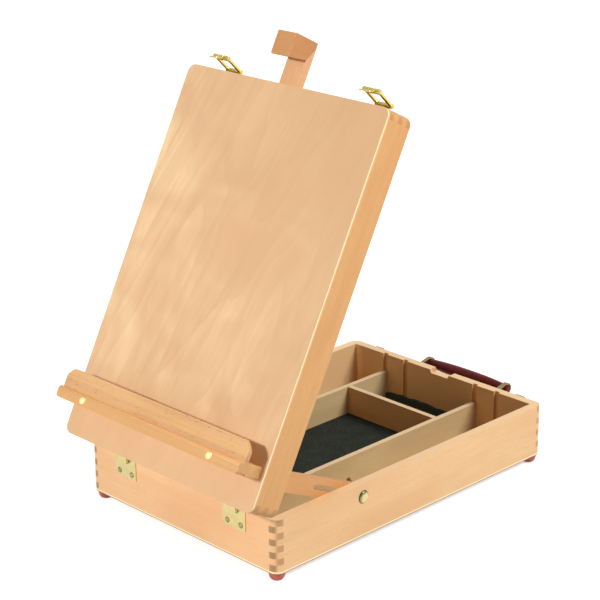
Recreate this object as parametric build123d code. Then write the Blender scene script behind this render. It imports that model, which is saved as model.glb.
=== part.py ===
from build123d import *
import os
from math import asin, atan2, cos, pi, radians, sin, sqrt

# A box easel: a shallow wooden paint box whose lid opens into a sloping drawing panel.
# X runs along the lid's hinge, +Y from the hinge to the handle, +Z up.
# The origin is on the surface it stands on, under the middle of the box.
# The lid is modelled shut, then opened.
# Along the lid, s is the distance from its hinged edge and n the height above its rim.

# Box
BOX_X = 280.0
BOX_Y = 400.0
BASE_WALL_H = 55.0
LID_WALL_H = 32.0
WALL = 10.0
PLY = 3.0
CORNER_R = 9.0
FINGER = 6.9
RIM_GAP = 0.3
LID_ANGLE = 62.0
SLIDE_GAP = 0.3
FIT_GAP = 0.05
SWING_GAP = 0.2

# Feet
FOOT_R = 8.5
FOOT_FLAT_R = 5.5
FOOT_H = 9.0
FOOT_INSET = 9.8

# Dividers and their grooves
GROOVE_OUTER_X = 83.0
GROOVE_INNER_X = 51.7
GROOVE_DEPTH = 3.0
DIVIDER_T = 6.0
DIVIDER_H = 34.0
DIVIDER_CORNER_R = 4.0
CROSS_Y = 128.0
CROSS_DEPTH = 1.5
FELT_T = 2.0
FELT_GAP = 0.5

# Notch for a finger in the back wall's top edge
NOTCH_TOP = 28.4
NOTCH_FLOOR = 25.0
NOTCH_DEPTH = 4.0

# Hinges
HINGE_INSET = 58.0
HINGE_W = 32.0
HINGE_CENTRE_W = 12.0
HINGE_LEAF_H = 25.5
HINGE_LEAF_T = 1.0
HINGE_OFFSET = 2.5
KNUCKLE_R = 2.4
PIN_R = 1.1
TONGUE_DROP = 9.5
TONGUE_RISE = 2.5
TONGUE_CORNER_R = 4.0
HINGE_SCREW_X = 9.5
HINGE_SCREW_Z = 20.2

# Flat sides on the small round pieces
SCREW_SIDES = 8
PIN_SIDES = 12
KNUCKLE_SIDES = 16
DISC_SIDES = 20
GRIP_SIDES = 28

# Wood screws
SCREW_HEAD_R = 3.0
SCREW_SHANK_R = 1.4
SCREW_CONE_H = 1.8
SCREW_L = 8.0
SMALL_SCREW_HEAD_R = 2.2
SMALL_SCREW_SHANK_R = 1.0
SMALL_SCREW_CONE_H = 1.2
SMALL_SCREW_L = 7.0

# Stays that hold the lid open
STAY_BOLT_Y = -80.0
STAY_BOLT_RISE = 40.5
STAY_PIVOT_S = 35.3
STAY_PIVOT_N = 14.0
STAY_W = 20.0
STAY_T = 7.0
STAY_SLOT_START = 67.5
STAY_SLOT_END = 135.5
STAY_TAIL = 4.5
STAY_WALL_GAP = 0.4
STAY_HOLE_PLAY = 4.7
STAY_HOLE_SLIP = 2.2
BOLT_R = 2.5
BOLT_SLOT_GAP = 0.25
BOLT_HEAD_R = 7.5
BOLT_HEAD_H = 3.4
BOLT_END = 3.0
WASHER_R = 7.5
WASHER_T = 1.2
WASHER_GAP = 0.1
NUT_BASE_R = 5.4
NUT_TIP_R = 4.2
NUT_H = 6.4
WING_T = 2.0
WING_SPAN = 12.5
WING_TURN = 48.0
PIVOT_WASHER_R = 9.5
PIVOT_HEAD_R = 5.0
PIVOT_HEAD_H = 2.6
PIVOT_DEPTH = 6.5

# Canvas ledge on the lid's panel
LEDGE_X = 270.0
LEDGE_S = 33.5
SHELF_T = 12.0
SHELF_DEPTH = 20.5
LIP_BAND_T = 11.5
LIP_T = 5.5
LIP_H = 32.5
LIP_CHAMFER = 8.0
LIP_CORNER_R = 6.0
LIP_BAND_R = 3.0
LIP_BAND_EDGE_R = 3.5
LIP_PIN_X = 94.5
LIP_PIN_R = 4.0
LIP_PIN_H = 2.2
LIP_PIN_SHANK_R = 1.5
LIP_PIN_SHANK_L = 9.0

# Mast, its hook and its guide
MAST_W = 25.0
MAST_T = 9.0
MAST_BOTTOM_S = 83.0
MAST_OUT = 23.0
HOOK_H = 25.0
HOOK_REACH = 24.5
HOOK_UNDERCUT = 4.4
HOOK_NOSE_R = 2.0
SCARF_RISE = 15.4
MAST_SIDE_GAP = 0.4
RAIL_W = 9.0
RAIL_L = 100.0
BRIDGE_T = 1.5
BRIDGE_L = 24.0
BRIDGE_S = 312.0
BOSS_R = 4.5
BOSS_H = 4.0
LOCK_SHANK_R = 2.0
LOCK_HEAD_R = 7.5
LOCK_HEAD_H = 6.0
LOCK_NECK = 5.0
LOCK_FLUTES = 12
LOCK_FLUTE_DEPTH = 0.9

# Latches
LATCH_INSET = 35.0
LATCH_W = 22.0
LATCH_ARM_W = 4.0
LATCH_L = 24.5
LATCH_FRAME_T = 2.4
LATCH_T = 1.2
LATCH_PIVOT_S = 6.5
LATCH_PIVOT_N = 5.5
LATCH_LEAN = 17.0
LATCH_BAR = 1.7
LATCH_PLATE_W = 26.0
LATCH_PLATE_LOW_N = 2.0
LATCH_PLATE_H = 15.0
LATCH_PLATE_T = 1.0
LATCH_SCREW_X = 9.5
LATCH_SCREW_N = 12.0
LEVER_KNUCKLE_W = 7.0
LEVER_W = 14.0
LEVER_L = 12.5
LEVER_DROOP = 35.0
LEVER_CORNER_R = 3.0

# Catches on the base
CATCH_W = 16.0
CATCH_TAB_W = 12.0
CATCH_H = 23.0
CATCH_TOP_DROP = 2.0
CATCH_T = 1.2
CATCH_REACH = 6.0
CATCH_HOOK_GAP = 0.5
CATCH_SCREW_DROP = 6.5
CATCH_SCREW_STEP = 12.5

# Carrying handle
HANDLE_L = 122.0
GRIP_R = 6.4
GRIP_END_R = 5.8
GRIP_TIP_R = 4.4
GRIP_TIP_L = 1.5
STRAP_X = 57.0
STRAP_W = 5.0
STRAP_T = 1.1
HANDLE_REACH = 31.51
HANDLE_TILT = 5.0
HANDLE_PIVOT_OUT = 6.5
HANDLE_PIVOT_RISE = 35.0
EYE_R = 3.0
EYE_WEB = 2.0
STRAP_PART = 2.4
BRACKET_W = 20.0
BRACKET_H = 18.0
BRACKET_T = 1.2
EAR_T = 1.4
BRACKET_SCREW_X = 7.0

LOW = (Align.CENTER, Align.CENTER, Align.MIN)
FLOOR = FOOT_H + PLY
BASE_TOP = FLOOR + BASE_WALL_H
RIM = BASE_TOP + RIM_GAP
HINGE_X = BOX_X / 2 - HINGE_INSET
HINGE_Y = -BOX_Y / 2 - HINGE_OFFSET
HINGE_Z = BASE_TOP + RIM_GAP / 2
PANEL_N = LID_WALL_H + PLY
STAY_L = STAY_SLOT_END + STAY_TAIL
LATCH_X = BOX_X / 2 - LATCH_INSET
HINGE_AXIS = Axis((0, HINGE_Y, HINGE_Z), (1, 0, 0))
STAY_BOLT_Z = FLOOR + STAY_BOLT_RISE
HANDLE_PIVOT_Z = FLOOR + HANDLE_PIVOT_RISE


def lid_y(s):
    """Y of a point s along the shut lid from its hinged edge."""
    return s - BOX_Y / 2


def lid_z(n):
    """Z of a point n above the shut lid's rim."""
    return RIM + n


def opened(shape):
    """The lid's piece, turned from shut to where the lid stands open."""
    return shape.rotate(HINGE_AXIS, LID_ANGLE)


def flipped(shape):
    """The same piece on the box's other side."""
    return mirror(shape, about=Plane.YZ)


def both_sides(shape):
    """A right-hand piece with its mirror image, as one group."""
    return Compound(children=[flipped(shape), shape])


def yz_prism(points, x_low, x_high):
    """A straight bar along X with its section given as (y, z) points."""
    face = Plane.YZ.offset(x_low) * Polygon(*points, align=None)
    return extrude(face, x_high - x_low, dir=(1, 0, 0))


def block(x_low, x_high, y_low, y_high, z_low, z_high):
    """A rectangular block between two corners."""
    middle = Pos((x_low + x_high) / 2, (y_low + y_high) / 2, (z_low + z_high) / 2)
    return middle * Box(x_high - x_low, y_high - y_low, z_high - z_low)


def rod(radius, x_low, x_high, y, z, sides=PIN_SIDES):
    """A bar along X with its corners on the radius."""
    return Pos(x_low, y, z) * Rot(0, 90, 0) * extrude(RegularPolygon(radius, sides), x_high - x_low)


def bore(radius, x_low, x_high, y, z):
    """A hole along X with its flats on the radius, so that a rod turns in it."""
    face = RegularPolygon(radius, PIN_SIDES, major_radius=False)
    return Pos(x_low, y, z) * Rot(0, 90, 0) * extrude(face, x_high - x_low)


def pin_bore(x_low, x_high, y, z):
    """The hole for a hinge pin."""
    return bore(PIN_R + FIT_GAP, x_low, x_high, y, z)


def bolt_bore(x_low, x_high, y, z):
    """The hole for a stay's bolt or pivot screw."""
    return bore(BOLT_R + FIT_GAP, x_low, x_high, y, z)


def turned(points, sides):
    """A turned body about Z with flat sides, from (radius, z) points from end to end."""
    turns = [2 * pi * k / sides for k in range(sides)]
    rings = [[Vector(radius * cos(turn), radius * sin(turn), z) for turn in turns] for radius, z in points]
    outlines = [rings[0], rings[-1]]
    for low, high in zip(rings, rings[1:]):
        for k in range(sides):
            after = (k + 1) % sides
            outlines.append([low[k], low[after], high[after], high[k]])
    return Solid(Shell([Face(Wire.make_polygon(outline)) for outline in outlines]))


def rounded_bar(start, start_r, end, end_r, sides=DISC_SIDES):
    """The outline of a bar between two centres on X, its round ends drawn in flat sides."""
    lean = asin((end_r - start_r) / (end - start))
    quarter = pi / 2 + lean
    steps = sides // 2
    right = (end, end_r, -quarter, quarter)
    left = (start, start_r, quarter, 2 * pi - quarter)
    points = []
    for centre, radius, first, last in (right, left):
        for k in range(steps + 1):
            turn = first + (last - first) * k / steps
            points.append((centre + radius * cos(turn), radius * sin(turn)))
    return Polygon(*points, align=None)


def screw(head_r, shank_r, cone_h, length, gap=0.0):
    """A countersunk screw with its head flush at z = 0, or with a gap its hole."""
    rim = head_r + gap
    shank = shank_r + gap
    return turned([(rim, 0), (shank, -cone_h), (shank, -length - gap)], SCREW_SIDES)


def wood_screw(gap=0.0):
    return screw(SCREW_HEAD_R, SCREW_SHANK_R, SCREW_CONE_H, SCREW_L, gap)


def small_screw(gap=0.0):
    return screw(SMALL_SCREW_HEAD_R, SMALL_SCREW_SHANK_R, SMALL_SCREW_CONE_H, SMALL_SCREW_L, gap)


def dome(radius, height):
    """A low domed cap standing on z = 0, in two bands under a small flat."""
    sphere_r = (radius**2 + height**2) / (2 * height)
    rings = [(radius, 0)]
    for share in (0.4, 0.05):
        drop = share * height
        rings.append((sqrt(2 * sphere_r * drop - drop**2), height - drop))
    return turned(rings, DISC_SIDES)


def place_all(shape, spots):
    """Copies of one piece at several places, as one group."""
    return Compound(children=[spot * shape for spot in spots])


def drill(shape, hole, spots):
    """The shape with the same hole made at several places."""
    for spot in spots:
        shape = shape - spot * hole
    return shape


# Where each kind of fastener goes

def hinge_screw_spots(up):
    """Screw places on the hinge leaves, below or above the hinge line."""
    z = HINGE_Z + up * HINGE_SCREW_Z
    y = -BOX_Y / 2 - HINGE_LEAF_T
    spots = []
    for centre in (-HINGE_X, HINGE_X):
        for side in (-HINGE_SCREW_X, HINGE_SCREW_X):
            spots.append(Pos(centre + side, y, z) * Rot(90, 0, 0))
    return spots


def catch_screw_spots():
    spots = []
    for x in (-LATCH_X, LATCH_X):
        for drop in (CATCH_SCREW_DROP, CATCH_SCREW_DROP + CATCH_SCREW_STEP):
            z = BASE_TOP - CATCH_TOP_DROP - drop
            spots.append(Pos(x, BOX_Y / 2 + CATCH_T, z) * Rot(-90, 0, 0))
    return spots


def latch_screw_spots():
    spots = []
    for x in (-LATCH_X, LATCH_X):
        for side in (-LATCH_SCREW_X, LATCH_SCREW_X):
            spots.append(Pos(x + side, BOX_Y / 2 + LATCH_PLATE_T, lid_z(LATCH_SCREW_N)) * Rot(-90, 0, 0))
    return spots


def bracket_screw_spots():
    spots = []
    for x in (-STRAP_X, STRAP_X):
        for side in (-BRACKET_SCREW_X, BRACKET_SCREW_X):
            spots.append(Pos(x + side, BOX_Y / 2 + BRACKET_T, HANDLE_PIVOT_Z) * Rot(-90, 0, 0))
    return spots


def bridge_screw_spots():
    x = MAST_W / 2 + MAST_SIDE_GAP + RAIL_W / 2
    z = lid_z(LID_WALL_H - MAST_T - 2 * SLIDE_GAP - BRIDGE_T)
    return [Pos(side, lid_y(BRIDGE_S), z) * Rot(180, 0, 0) for side in (-x, x)]


def lip_pin_spots():
    y = lid_y(LEDGE_S + SHELF_T / 2)
    z = lid_z(PANEL_N + SHELF_DEPTH + LIP_BAND_T)
    return [Pos(x, y, z) for x in (-LIP_PIN_X, LIP_PIN_X)]


# Box walls with finger-jointed corners

def box_wall(side, z_low, height):
    """One wall of a box, notched at both ends for its neighbours' fingers."""
    sign = 1 if side in ("back", "right") else -1
    count = max(2, round(height / FINGER))
    step = height / count
    across = side in ("front", "back")
    if across:
        wall = Pos(0, sign * (BOX_Y - WALL) / 2, z_low) * Box(BOX_X, WALL, height, align=LOW)
        ends = [(x, sign) for x in (-1, 1)]
    else:
        wall = Pos(sign * (BOX_X - WALL) / 2, 0, z_low) * Box(WALL, BOX_Y, height, align=LOW)
        ends = [(sign, y) for y in (-1, 1)]
    first_gap = 1 if across else 0
    for x, y in ends:
        for k in range(first_gap, count, 2):
            corner = Pos(x * (BOX_X - WALL) / 2, y * (BOX_Y - WALL) / 2, z_low + height - (k + 1) * step)
            wall = wall - corner * Box(WALL, WALL, step, align=LOW)
    outline = extrude(Pos(0, 0, z_low) * RectangleRounded(BOX_X, BOX_Y, CORNER_R), height)
    return wall & outline


def flat_panel(z_low):
    return extrude(Pos(0, 0, z_low) * RectangleRounded(BOX_X, BOX_Y, CORNER_R), PLY)


# Base

def grooved(wall, sign):
    """A front or back wall with its four divider grooves, open at the top."""
    width = DIVIDER_T + 2 * SWING_GAP
    inner = sign * (BOX_Y / 2 - WALL)
    y_low, y_high = sorted((inner, inner + sign * GROOVE_DEPTH))
    for x in (-GROOVE_OUTER_X, -GROOVE_INNER_X, GROOVE_INNER_X, GROOVE_OUTER_X):
        wall = wall - block(x - width / 2, x + width / 2, y_low, y_high, FLOOR, BASE_TOP)
    return wall


def base_front_wall():
    wall = grooved(box_wall("front", FLOOR, BASE_WALL_H), -1)
    return drill(wall, wood_screw(FIT_GAP), hinge_screw_spots(-1))


def base_back_wall():
    wall = grooved(box_wall("back", FLOOR, BASE_WALL_H), 1)
    half_top = NOTCH_TOP / 2
    half_floor = NOTCH_FLOOR / 2
    floor = BASE_TOP - NOTCH_DEPTH
    outline = [(-half_top, BASE_TOP), (-half_floor, floor), (half_floor, floor), (half_top, BASE_TOP)]
    notch = extrude(Plane.XZ * Polygon(*outline, align=None), BOX_Y, both=True)
    wall = wall - (notch & block(-BOX_X / 2, BOX_X / 2, 0, BOX_Y, 0, BASE_TOP))
    wall = drill(wall, small_screw(FIT_GAP), catch_screw_spots())
    return drill(wall, small_screw(FIT_GAP), bracket_screw_spots())


def base_right_wall():
    wall = box_wall("right", FLOOR, BASE_WALL_H)
    inner = BOX_X / 2 - WALL
    return wall - bolt_bore(inner, BOX_X / 2, STAY_BOLT_Y, STAY_BOLT_Z)


def feet():
    """Four turned button feet, rounded towards their flat undersides."""
    middle_r = FOOT_FLAT_R + 0.75 * (FOOT_R - FOOT_FLAT_R)
    rings = [(FOOT_FLAT_R, 0), (middle_r, 0.22 * FOOT_H), (FOOT_R, 0.6 * FOOT_H), (FOOT_R, FOOT_H)]
    foot = turned(rings, DISC_SIDES)
    x = BOX_X / 2 - FOOT_INSET
    y = BOX_Y / 2 - FOOT_INSET
    return place_all(foot, [Pos(i * x, j * y, 0) for i in (-1, 1) for j in (-1, 1)])


# Dividers and felt

def long_divider(x):
    """A divider from the front wall's groove to the back wall's, round at its top corners."""
    half = BOX_Y / 2 - WALL + GROOVE_DEPTH - SLIDE_GAP
    face = Rectangle(2 * half, DIVIDER_H)
    face = fillet(face.vertices().group_by(Axis.Y)[-1], DIVIDER_CORNER_R)
    plank = extrude(Plane.YZ * face, DIVIDER_T / 2, both=True)
    plank = Pos(x, 0, FLOOR + DIVIDER_H / 2) * plank
    inward = 1 if x < 0 else -1
    x_low, x_high = sorted((x + inward * (DIVIDER_T / 2 - CROSS_DEPTH), x + inward * DIVIDER_T / 2))
    half_slot = DIVIDER_T / 2 + SWING_GAP
    return plank - block(x_low, x_high, CROSS_Y - half_slot, CROSS_Y + half_slot, FLOOR, FLOOR + DIVIDER_H)


def cross_divider():
    """The short divider between the two long ones, seated in a groove of each."""
    x_low = -GROOVE_OUTER_X + DIVIDER_T / 2 - CROSS_DEPTH + SWING_GAP
    x_high = GROOVE_INNER_X - DIVIDER_T / 2 + CROSS_DEPTH - SWING_GAP
    half = DIVIDER_T / 2
    return block(x_low, x_high, CROSS_Y - half, CROSS_Y + half, FLOOR, FLOOR + DIVIDER_H)


def felt_pad(y_low, y_high):
    x_low = -GROOVE_OUTER_X + DIVIDER_T / 2 + FELT_GAP
    x_high = GROOVE_INNER_X - DIVIDER_T / 2 - FELT_GAP
    return block(x_low, x_high, y_low + FELT_GAP, y_high - FELT_GAP, FLOOR, FLOOR + FELT_T)


# Hinges

def hinge_leaf_base():
    """The lower leaf: a plate on the front wall, with a pocket pressed out up to the middle knuckle."""
    half = HINGE_W / 2
    half_centre = HINGE_CENTRE_W / 2
    face = HINGE_OFFSET - HINGE_LEAF_T
    top = -KNUCKLE_R - 2 * SWING_GAP
    plate = block(-half, half, face, HINGE_OFFSET, -HINGE_LEAF_H, top)
    outline = Rectangle(HINGE_CENTRE_W, TONGUE_DROP)
    outline = fillet(outline.vertices().group_by(Axis.Y)[0], TONGUE_CORNER_R)
    pressed = extrude(Plane.XZ * Pos(0, -TONGUE_DROP / 2) * outline, HINGE_W, both=True)
    bend = TONGUE_RISE - TONGUE_DROP
    front = [(face, -TONGUE_DROP), (-KNUCKLE_R, bend), (-KNUCKLE_R, 0)]
    back_y = HINGE_LEAF_T - KNUCKLE_R
    back = [(back_y, 0), (back_y, top), (HINGE_OFFSET, top)]
    pocket = yz_prism([(HINGE_OFFSET, -TONGUE_DROP)] + front + back, -half_centre, half_centre)
    leaf = plate + (pocket & pressed)
    leaf = leaf + rod(KNUCKLE_R, -half_centre, half_centre, 0, 0, KNUCKLE_SIDES)
    return Pos(0, HINGE_Y, HINGE_Z) * (leaf - pin_bore(-half, half, 0, 0))


def hinge_leaf_lid():
    """The upper leaf: a plate on the lid's edge with the two outer knuckles."""
    half = HINGE_W / 2
    near = HINGE_CENTRE_W / 2 + SWING_GAP
    top = KNUCKLE_R + 2 * SWING_GAP
    leaf = block(-half, half, HINGE_OFFSET - HINGE_LEAF_T, HINGE_OFFSET, 0, HINGE_LEAF_H)
    for x_low, x_high in ((-half, -near), (near, half)):
        leaf = leaf + rod(KNUCKLE_R, x_low, x_high, 0, 0, KNUCKLE_SIDES)
    leaf = leaf - block(-near, near, 0, HINGE_OFFSET, -KNUCKLE_R, top)
    return Pos(0, HINGE_Y, HINGE_Z) * (leaf - pin_bore(-half, half, 0, 0))


def base_leaf(x):
    return drill(Pos(x, 0, 0) * hinge_leaf_base(), wood_screw(FIT_GAP), hinge_screw_spots(-1))


def lid_leaf(x):
    return opened(drill(Pos(x, 0, 0) * hinge_leaf_lid(), wood_screw(FIT_GAP), hinge_screw_spots(1)))


def hinge_pins():
    half = HINGE_W / 2
    return Compound(children=[rod(PIN_R, x - half, x + half, HINGE_Y, HINGE_Z) for x in (-HINGE_X, HINGE_X)])


# Lid

def lid_front_wall():
    wall = box_wall("front", RIM, LID_WALL_H)
    return opened(drill(wall, wood_screw(FIT_GAP), hinge_screw_spots(1)))


def lid_back_wall():
    """The lid's far wall, with the way out for the mast under the panel."""
    wall = box_wall("back", RIM, LID_WALL_H)
    half = MAST_W / 2 + MAST_SIDE_GAP
    low = lid_z(LID_WALL_H - MAST_T - 2 * SLIDE_GAP)
    wall = wall - block(-half, half, BOX_Y / 2 - WALL, BOX_Y / 2, low, lid_z(LID_WALL_H))
    return opened(drill(wall, small_screw(FIT_GAP), latch_screw_spots()))


def lid_right_wall():
    wall = box_wall("right", RIM, LID_WALL_H)
    inner = BOX_X / 2 - WALL
    hole = bolt_bore(inner, inner + PIVOT_DEPTH, lid_y(STAY_PIVOT_S), lid_z(STAY_PIVOT_N))
    return opened(wall - hole)


# Stays

def open_point(s, n):
    """(y, z) of a point of the lid as it stands open."""
    along = lid_y(s) - HINGE_Y
    up = lid_z(n) - HINGE_Z
    turn = radians(LID_ANGLE)
    y = HINGE_Y + along * cos(turn) - up * sin(turn)
    z = HINGE_Z + along * sin(turn) + up * cos(turn)
    return y, z


def stay_x():
    """Inner and outer X of the right stay."""
    outer = BOX_X / 2 - WALL - STAY_WALL_GAP
    return outer - STAY_T, outer


def stay_arm():
    """A slotted wooden strap from the lid's pivot screw down past the bolt in the base."""
    pivot_y, pivot_z = open_point(STAY_PIVOT_S, STAY_PIVOT_N)
    slope = atan2(STAY_BOLT_Z - pivot_z, STAY_BOLT_Y - pivot_y)
    inner, outer = stay_x()
    slot_r = BOLT_R + BOLT_SLOT_GAP
    face = rounded_bar(0, STAY_W / 2, STAY_L, STAY_W / 2)
    face = face - rounded_bar(STAY_SLOT_START, slot_r, STAY_SLOT_END, slot_r, PIN_SIDES)
    hole_r = BOLT_R + STAY_HOLE_SLIP
    hole_reach = STAY_HOLE_PLAY + BOLT_SLOT_GAP - STAY_HOLE_SLIP
    face = face - Rot(0, 0, 90) * rounded_bar(-hole_reach, hole_r, hole_reach, hole_r, KNUCKLE_SIDES)
    lie = Plane(origin=(inner, pivot_y, pivot_z), x_dir=(0, cos(slope), sin(slope)), z_dir=(1, 0, 0))
    return extrude(lie * face, outer - inner)


def stay_bolt():
    """A dome-headed bolt through the base wall and the stay's slot."""
    inner, _ = stay_x()
    end = inner - 2 * WASHER_GAP - WASHER_T - NUT_H - BOLT_END
    shank = rod(BOLT_R, end, BOX_X / 2, STAY_BOLT_Y, STAY_BOLT_Z)
    head = Pos(BOX_X / 2, STAY_BOLT_Y, STAY_BOLT_Z) * Rot(0, 90, 0) * dome(BOLT_HEAD_R, BOLT_HEAD_H)
    return shank + head


def stay_washer():
    inner, _ = stay_x()
    high = inner - WASHER_GAP
    ring = rod(WASHER_R, high - WASHER_T, high, STAY_BOLT_Y, STAY_BOLT_Z, DISC_SIDES)
    return ring - bolt_bore(high - WASHER_T, high, STAY_BOLT_Y, STAY_BOLT_Z)


def wing_nut():
    """A wing nut: a tapered hub with two rounded wings."""
    hub = turned([(NUT_BASE_R, 0), (NUT_TIP_R, NUT_H)], KNUCKLE_SIDES)
    root = NUT_TIP_R / 2
    tip = [(WING_SPAN - 1, 6.6), (WING_SPAN, 8.6), (WING_SPAN - 0.6, 10.6), (WING_SPAN - 2.6, 11.4)]
    outline = Polygon((root, 0.6), (8, 3), *tip, (7, 9), (root, NUT_H - 1), align=None)
    wing = extrude(Plane.XZ * outline, WING_T / 2, both=True)
    nut = hub + wing + mirror(wing, about=Plane.YZ)
    inner, _ = stay_x()
    seat = inner - 2 * WASHER_GAP - WASHER_T
    nut = Pos(seat, STAY_BOLT_Y, STAY_BOLT_Z) * Rot(0, -90, 0) * Rot(0, 0, WING_TURN) * nut
    return nut - bolt_bore(seat - 2 * NUT_H, seat, STAY_BOLT_Y, STAY_BOLT_Z)


def pivot_screw():
    """The lid's pivot screw for the stay, with a domed head inside the lid."""
    inner, _ = stay_x()
    seat = inner - 2 * WASHER_GAP - WASHER_T
    y = lid_y(STAY_PIVOT_S)
    z = lid_z(STAY_PIVOT_N)
    shank = rod(BOLT_R, seat, BOX_X / 2 - WALL + PIVOT_DEPTH, y, z)
    head = Pos(seat, y, z) * Rot(0, -90, 0) * dome(PIVOT_HEAD_R, PIVOT_HEAD_H)
    return opened(shank + head)


def pivot_washer():
    inner, _ = stay_x()
    high = inner - WASHER_GAP
    y = lid_y(STAY_PIVOT_S)
    z = lid_z(STAY_PIVOT_N)
    ring = rod(PIVOT_WASHER_R, high - WASHER_T, high, y, z, DISC_SIDES)
    return opened(ring - bolt_bore(high - WASHER_T, high, y, z))


# Canvas ledge

def ledge_shelf():
    half = LEDGE_X / 2
    y = lid_y(LEDGE_S)
    return opened(block(-half, half, y, y + SHELF_T, lid_z(PANEL_N), lid_z(PANEL_N + SHELF_DEPTH)))


def ledge_lip():
    """The stepped strip along the shelf: a thick band below and a thin fence above it."""
    half = LEDGE_X / 2
    y = lid_y(LEDGE_S)
    back = lid_z(PANEL_N + SHELF_DEPTH)
    fence = Rectangle(LEDGE_X, LIP_H)
    fence = chamfer(fence.vertices().group_by(Axis.Y)[-1], LIP_CHAMFER)
    fence = fillet(fence.vertices().sort_by(Axis.Y)[-4:], LIP_CORNER_R)
    fence = Pos(0, y + LIP_H / 2, back) * extrude(fence, LIP_T)
    band = Rectangle(LEDGE_X, SHELF_T)
    band = fillet(band.vertices().group_by(Axis.Y)[0], LIP_BAND_R)
    band = Pos(0, y + SHELF_T / 2, back) * extrude(band, LIP_BAND_T)
    band = fillet(band.edges().group_by(Axis.Z)[-1].sort_by(Axis.Y)[-1], LIP_BAND_EDGE_R)
    under = block(-half, half, y, y + SHELF_T, back, back + LIP_T)
    lip = (fence - under) + band
    return opened(drill(lip, lip_pin_shank(FIT_GAP), lip_pin_spots()))


def lip_pin_shank(gap=0.0):
    """A lip pin's shank below z = 0, or with a gap its hole."""
    face = RegularPolygon(LIP_PIN_SHANK_R + gap, PIN_SIDES)
    return extrude(face, -LIP_PIN_SHANK_L - gap)


def ledge_pins():
    pin = lip_pin_shank() + dome(LIP_PIN_R, LIP_PIN_H)
    return opened(place_all(pin, lip_pin_spots()))


# Mast

def mast_faces():
    """Z of the mast's back and front faces in the shut lid."""
    front = lid_z(LID_WALL_H - SLIDE_GAP)
    return front - MAST_T, front


def mast():
    """The flat bar that slides out of the lid, cut on a slant under its hook."""
    back, front = mast_faces()
    foot = lid_y(MAST_BOTTOM_S)
    low = lid_y(BOX_Y + MAST_OUT + HOOK_UNDERCUT)
    outline = [(foot, back), (low + SCARF_RISE, back), (low, front), (foot, front)]
    return opened(yz_prism(outline, -MAST_W / 2, MAST_W / 2))


def mast_hook():
    """The hook block that holds a board's top edge, undercut and scarfed to the mast."""
    back, front = mast_faces()
    nose = front + HOOK_REACH
    under = lid_y(BOX_Y + MAST_OUT)
    low = under + HOOK_UNDERCUT
    top = under + HOOK_H
    slant = [(low + SCARF_RISE, back), (low, front)]
    outline = Polygon((under, nose), (top, nose), (top, back), *slant, align=None)
    outline = fillet(outline.vertices().group_by(Axis.Y)[-1], HOOK_NOSE_R)
    return opened(extrude(Plane.YZ * outline, MAST_W / 2, both=True))


def mast_rail(side):
    """A strip glued behind the panel that guides one edge of the mast."""
    near = MAST_W / 2 + MAST_SIDE_GAP
    x_low, x_high = sorted((side * near, side * (near + RAIL_W)))
    y_high = BOX_Y / 2 - WALL
    low = lid_z(LID_WALL_H - MAST_T - 2 * SLIDE_GAP)
    rail = block(x_low, x_high, y_high - RAIL_L, y_high, low, lid_z(LID_WALL_H))
    return opened(drill(rail, small_screw(FIT_GAP), bridge_screw_spots()))


def mast_bridge():
    """The brass plate across the rails, with a threaded boss for the lock screw."""
    half = MAST_W / 2 + MAST_SIDE_GAP + RAIL_W
    high = lid_z(LID_WALL_H - MAST_T - 2 * SLIDE_GAP)
    low = high - BRIDGE_T
    y = lid_y(BRIDGE_S)
    plate = block(-half, half, y - BRIDGE_L / 2, y + BRIDGE_L / 2, low, high)
    place = Pos(0, y, low - BOSS_H)
    boss = place * extrude(RegularPolygon(BOSS_R, DISC_SIDES), BOSS_H)
    hole_face = RegularPolygon(LOCK_SHANK_R + FIT_GAP, PIN_SIDES, major_radius=False)
    hole = place * extrude(hole_face, BOSS_H + BRIDGE_T)
    return opened(drill(plate + boss - hole, small_screw(FIT_GAP), bridge_screw_spots()))


def mast_lock():
    """A fluted thumb screw that presses on the mast."""
    high = lid_z(LID_WALL_H - MAST_T - 2 * SLIDE_GAP) + SLIDE_GAP - FIT_GAP
    neck = high - SLIDE_GAP - BRIDGE_T - BOSS_H - LOCK_NECK
    points = []
    for k in range(2 * LOCK_FLUTES):
        radius = LOCK_HEAD_R - (k % 2) * LOCK_FLUTE_DEPTH
        turn = k * pi / LOCK_FLUTES
        points.append((radius * cos(turn), radius * sin(turn)))
    head = extrude(Polygon(*points, align=None), LOCK_HEAD_H)
    y = lid_y(BRIDGE_S)
    shank = Pos(0, y, neck) * extrude(RegularPolygon(LOCK_SHANK_R, PIN_SIDES), high - neck)
    return opened(shank + Pos(0, y, neck - LOCK_HEAD_H) * head)


# Latches

def latch_pivot():
    """(y, z) of the latch's pivot on the shut lid."""
    return BOX_Y / 2 + LATCH_PIVOT_S, lid_z(LATCH_PIVOT_N)


def latch_plate(x):
    """The plate on the lid's far wall, with a wide knuckle on a web."""
    half = LATCH_PLATE_W / 2
    half_knuckle = LATCH_W / 2 - LATCH_ARM_W - SWING_GAP
    y, z = latch_pivot()
    low = lid_z(LATCH_PLATE_LOW_N)
    plate = block(-half, half, BOX_Y / 2, BOX_Y / 2 + LATCH_PLATE_T, low, low + LATCH_PLATE_H)
    web = block(-half_knuckle, half_knuckle, BOX_Y / 2, y, z - KNUCKLE_R, z - KNUCKLE_R + LATCH_T)
    body = plate + web + rod(KNUCKLE_R, -half_knuckle, half_knuckle, y, z, KNUCKLE_SIDES)
    body = body - pin_bore(-half, half, y, z)
    return opened(drill(Pos(x, 0, 0) * body, small_screw(FIT_GAP), latch_screw_spots()))


def latch_pins():
    y, z = latch_pivot()
    half = LATCH_W / 2
    pins = [rod(PIN_R, x - half, x + half, y, z) for x in (-LATCH_X, LATCH_X)]
    return opened(Compound(children=pins))


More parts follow.
